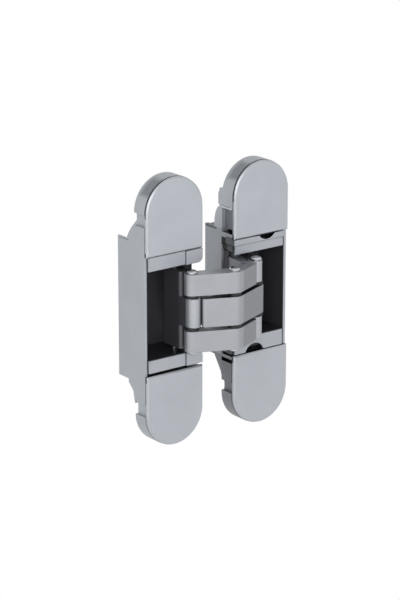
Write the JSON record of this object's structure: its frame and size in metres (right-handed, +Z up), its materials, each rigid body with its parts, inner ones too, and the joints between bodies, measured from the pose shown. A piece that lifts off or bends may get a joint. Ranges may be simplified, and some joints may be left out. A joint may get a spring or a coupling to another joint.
{
  "type": "concealed door hinge",
  "caption": "Concealed invisible door hinge: two round-ended mortice housings with pull-off covers, joined by folding arms on pins, fully open",
  "frame": {"origin": "centre of the frame-side housing's four fixing holes, on the plane where their screw heads seat, 4.4 mm behind the face", "axes": "+Z up along the housings, +X from the frame-side housing to the door-side one, +Y into the timber; the hinge is fully open, with both faces in one plane"},
  "size_m": [0.0768, 0.0358, 0.12],
  "materials": {
    "satin_housing": "satin chrome plated zinc casting",
    "satin_cover": "satin chrome plated cover",
    "satin_arm": "satin plated arms",
    "dark_link": "dark plated links",
    "satin_carrier": "satin plated carriers",
    "pin_steel": "turned steel",
    "washer_polymer": "black polymer",
    "cam_steel": "black oxide"
  },
  "bodies": {
    "frame_side": {"frame_housing": "satin_housing"},
    "frame_carriage": {"frame_carrier_top": "satin_carrier", "frame_carrier_bottom": "satin_carrier", "frame_pivot_block_top": "satin_carrier", "frame_pivot_block_bottom": "satin_carrier", "frame_arm_pin": "pin_steel", "frame_link_pin": "pin_steel", "frame_arm_spacers": "washer_polymer"},
    "middle": {"middle_arm": "satin_arm", "door_front_pin": "pin_steel", "door_front_washers": "washer_polymer"},
    "fork": {"fork_arm": "satin_arm", "centre_pin": "pin_steel", "centre_washers": "washer_polymer", "frame_front_pin": "pin_steel", "frame_front_washers": "washer_polymer"},
    "frame_linkage": {"frame_link": "dark_link"},
    "door_carriage": {"door_carrier_top": "satin_carrier", "door_carrier_bottom": "satin_carrier", "door_pivot_block_top": "satin_carrier", "door_pivot_block_bottom": "satin_carrier", "door_arm_pin": "pin_steel", "door_link_pin": "pin_steel"},
    "door_linkage": {"door_link": "dark_link"},
    "door_side": {"door_housing": "satin_housing"},
    "cam_top": {"door_cam_top": "cam_steel"},
    "cam_bottom": {"door_cam_bottom": "cam_steel"},
    "cover_frame_top": {"frame_cover_top": "satin_cover"},
    "cover_frame_bottom": {"frame_cover_bottom": "satin_cover"},
    "cover_door_top": {"door_cover_top": "satin_cover"},
    "cover_door_bottom": {"door_cover_bottom": "satin_cover"}
  },
  "joints": [
    {"name": "height_adjustment", "type": "slide", "parent": "frame_side", "child": "frame_carriage", "axis": [0, 0, 1], "range_m": [-0.0009, 0]},
    {"name": "hinge_fold", "type": "hinge", "parent": "frame_carriage", "child": "middle", "pos_m": [0.0102, 0.0016, 0], "axis": [0, 0, 1], "range_deg": [-103.91, 0]},
    {"name": "centre_fold", "type": "hinge", "parent": "middle", "child": "fork", "pos_m": [0.0234, -0.0153, 0], "axis": [0, 0, 1], "range_deg": [0, 27.83]},
    {"name": "door_fold", "type": "hinge", "parent": "fork", "child": "door_carriage", "pos_m": [0.0366, 0.0016, 0], "axis": [0, 0, 1], "range_deg": [-103.92, 0]},
    {"name": "frame_link_fold", "type": "hinge", "parent": "frame_carriage", "child": "frame_linkage", "pos_m": [0.0072, 0.0062, 0], "axis": [0, 0, 1], "range_deg": [-106.35, 0]},
    {"name": "door_link_fold", "type": "hinge", "parent": "door_carriage", "child": "door_linkage", "pos_m": [0.0396, 0.0062, 0], "axis": [0, 0, 1], "range_deg": [0, 106.35]},
    {"name": "side_adjustment", "type": "slide", "parent": "door_carriage", "child": "door_side", "axis": [1, 0, 0], "range_m": [-0.001, 0.001]},
    {"name": "cam_top_turn", "type": "hinge", "parent": "door_side", "child": "cam_top", "pos_m": [0.0498, 0.0006, 0.031], "axis": [0, 1, 0], "range_deg": [-45.6, 45.6]},
    {"name": "cam_bottom_turn", "type": "hinge", "parent": "door_side", "child": "cam_bottom", "pos_m": [0.0438, 0.0006, -0.031], "axis": [0, 1, 0], "range_deg": [-45.6, 45.6]},
    {"name": "frame_cover_top_off", "type": "slide", "parent": "frame_side", "child": "cover_frame_top", "axis": [0, -1, 0], "range_m": [0, 0.009]},
    {"name": "frame_cover_bottom_off", "type": "slide", "parent": "frame_side", "child": "cover_frame_bottom", "axis": [0, -1, 0], "range_m": [0, 0.009]},
    {"name": "door_cover_top_off", "type": "slide", "parent": "door_side", "child": "cover_door_top", "axis": [0, -1, 0], "range_m": [0, 0.009]},
    {"name": "door_cover_bottom_off", "type": "slide", "parent": "door_side", "child": "cover_door_bottom", "axis": [0, -1, 0], "range_m": [0, 0.009]}
  ],
  "couplings": [
    {"joint": "centre_fold", "follows": "hinge_fold", "ratio": -0.26774},
    {"joint": "door_fold", "follows": "hinge_fold", "ratio": 1},
    {"joint": "frame_link_fold", "follows": "hinge_fold", "ratio": 1.0233},
    {"joint": "door_link_fold", "follows": "hinge_fold", "ratio": -1.0233},
    {"joint": "cam_top_turn", "follows": "side_adjustment", "rad_per_m": 795.6},
    {"joint": "cam_bottom_turn", "follows": "side_adjustment", "rad_per_m": -795.6}
  ]
}
